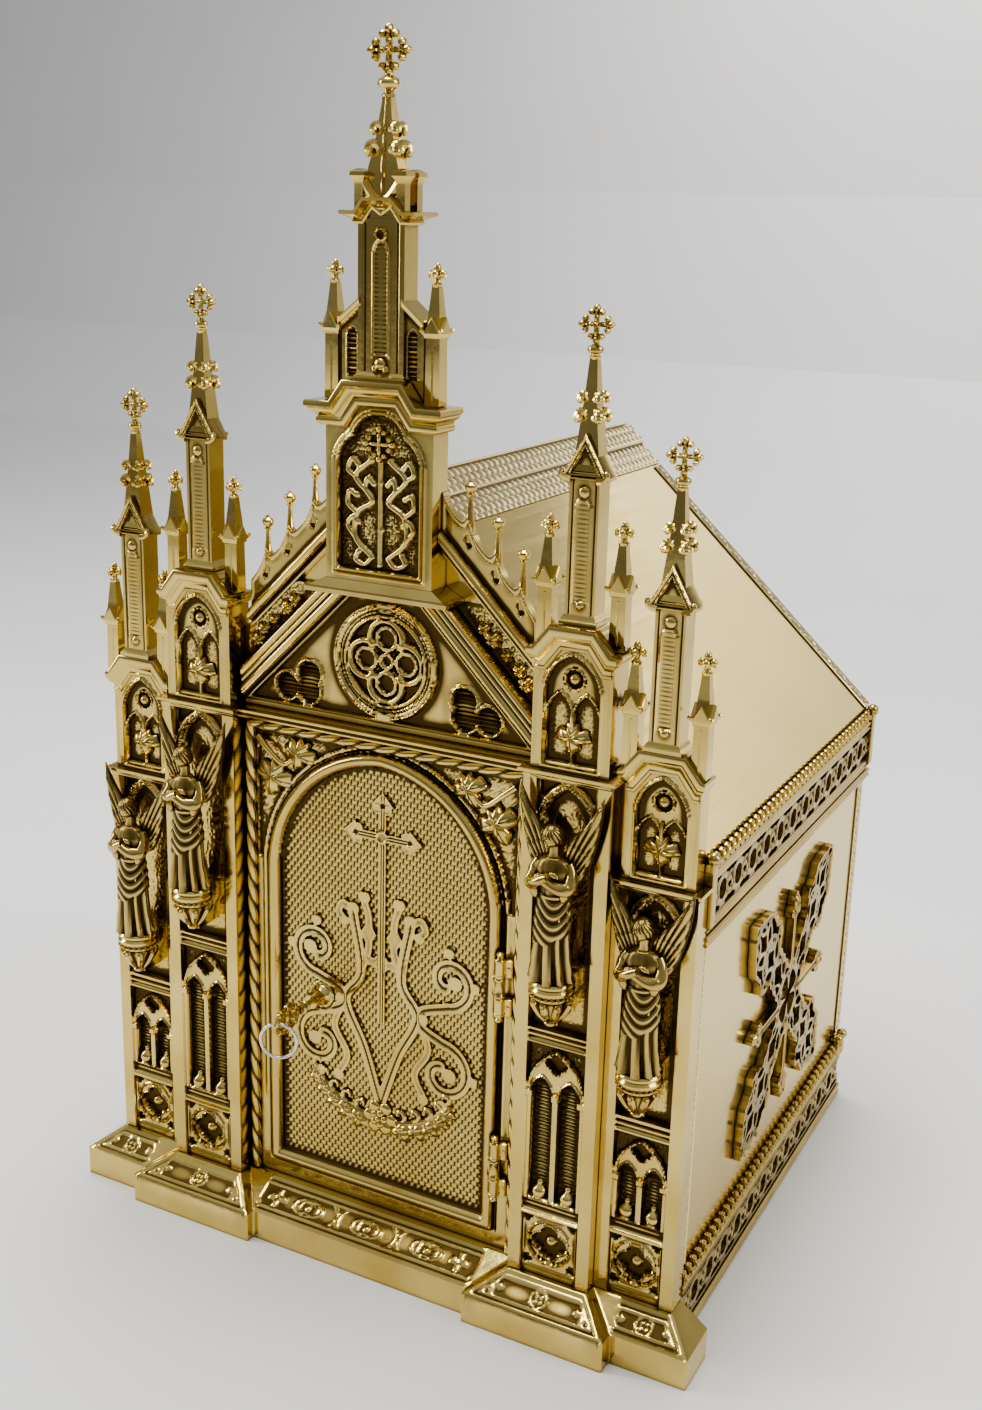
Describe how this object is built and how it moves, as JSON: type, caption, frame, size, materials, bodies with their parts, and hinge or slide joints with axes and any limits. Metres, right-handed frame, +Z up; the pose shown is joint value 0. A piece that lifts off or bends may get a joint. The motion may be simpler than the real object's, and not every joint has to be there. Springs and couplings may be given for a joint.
{
  "type": "altar tabernacle",
  "caption": "Gothic altar tabernacle of cast and sheet brass: cabinet with a hinged arched door, niche figures, pinnacles and a tower.",
  "frame": {"origin": "centre of the footprint on the surface that it stands on", "axes": "+Z up, the door faces -Y, +X to the right of someone who faces the door"},
  "size_m": [0.43, 0.389, 0.7223],
  "materials": {
    "cast_polished": "polished cast brass with brown antiquing in the recesses",
    "cast_antiqued": "cast brass, brown antiqued, with bright edges",
    "door_ground": "cast brass with a fine dotted ground and a polished moulding",
    "sheet_mirror": "mirror-polished pale sheet brass",
    "strip_embossed": "embossed sheet-brass strip with darkened ground",
    "ring_steel": "bright steel wire"
  },
  "bodies": {
    "root": {"stepped_plinth": "cast_polished", "cabinet_shell": "sheet_mirror", "ridge_band": "strip_embossed", "pier_inner_left": "cast_polished", "bracket_inner_left": "cast_polished", "angel_inner_left": "cast_antiqued", "pier_head_inner_left": "cast_polished", "pinnacle_inner_left": "cast_polished", "small_pinnacle_inner_left_a": "cast_polished", "small_pinnacle_inner_left_b": "cast_polished", "pier_outer_left": "cast_polished", "bracket_outer_left": "cast_polished", "angel_outer_left": "cast_antiqued", "pier_head_outer_left": "cast_polished", "pinnacle_outer_left": "cast_polished", "small_pinnacle_outer_left_a": "cast_polished", "small_pinnacle_outer_left_b": "cast_polished", "cresting_left": "cast_polished", "tower_pinnacle_left": "cast_polished", "front_edge_strip_left": "strip_embossed", "rear_edge_strip_left": "strip_embossed", "roof_edge_strip_left": "strip_embossed", "eave_gallery_left": "cast_antiqued", "base_gallery_left": "cast_antiqued", "side_cross_left": "cast_antiqued", "pier_inner_right": "cast_polished", "bracket_inner_right": "cast_polished", "angel_inner_right": "cast_antiqued", "pier_head_inner_right": "cast_polished", "pinnacle_inner_right": "cast_polished", "small_pinnacle_inner_right_a": "cast_polished", "small_pinnacle_inner_right_b": "cast_polished", "pier_outer_right": "cast_polished", "bracket_outer_right": "cast_polished", "angel_outer_right": "cast_antiqued", "pier_head_outer_right": "cast_polished", "pinnacle_outer_right": "cast_polished", "small_pinnacle_outer_right_a": "cast_polished", "small_pinnacle_outer_right_b": "cast_polished", "cresting_right": "cast_polished", "tower_pinnacle_right": "cast_polished", "front_edge_strip_right": "strip_embossed", "rear_edge_strip_right": "strip_embossed", "roof_edge_strip_right": "strip_embossed", "eave_gallery_right": "cast_antiqued", "base_gallery_right": "cast_antiqued", "side_cross_right": "cast_antiqued", "door_surround": "cast_polished", "hinge_upper": "cast_polished", "hinge_lower": "cast_polished", "rose_gable": "cast_polished", "tower_panel_stage": "cast_polished", "tower_shaft_stage": "cast_polished"},
    "door": {"door_leaf": "door_ground", "door_cross": "cast_polished", "door_strapwork": "cast_polished", "lock_boss": "cast_polished", "key": "cast_polished", "key_ring": "ring_steel"}
  },
  "joints": [
    {"name": "door_hinge", "type": "hinge", "parent": "root", "child": "door", "pos_m": [0.08175, -0.14855, 0], "axis": [0, 0, 1], "range_deg": [0, 105]}
  ]
}
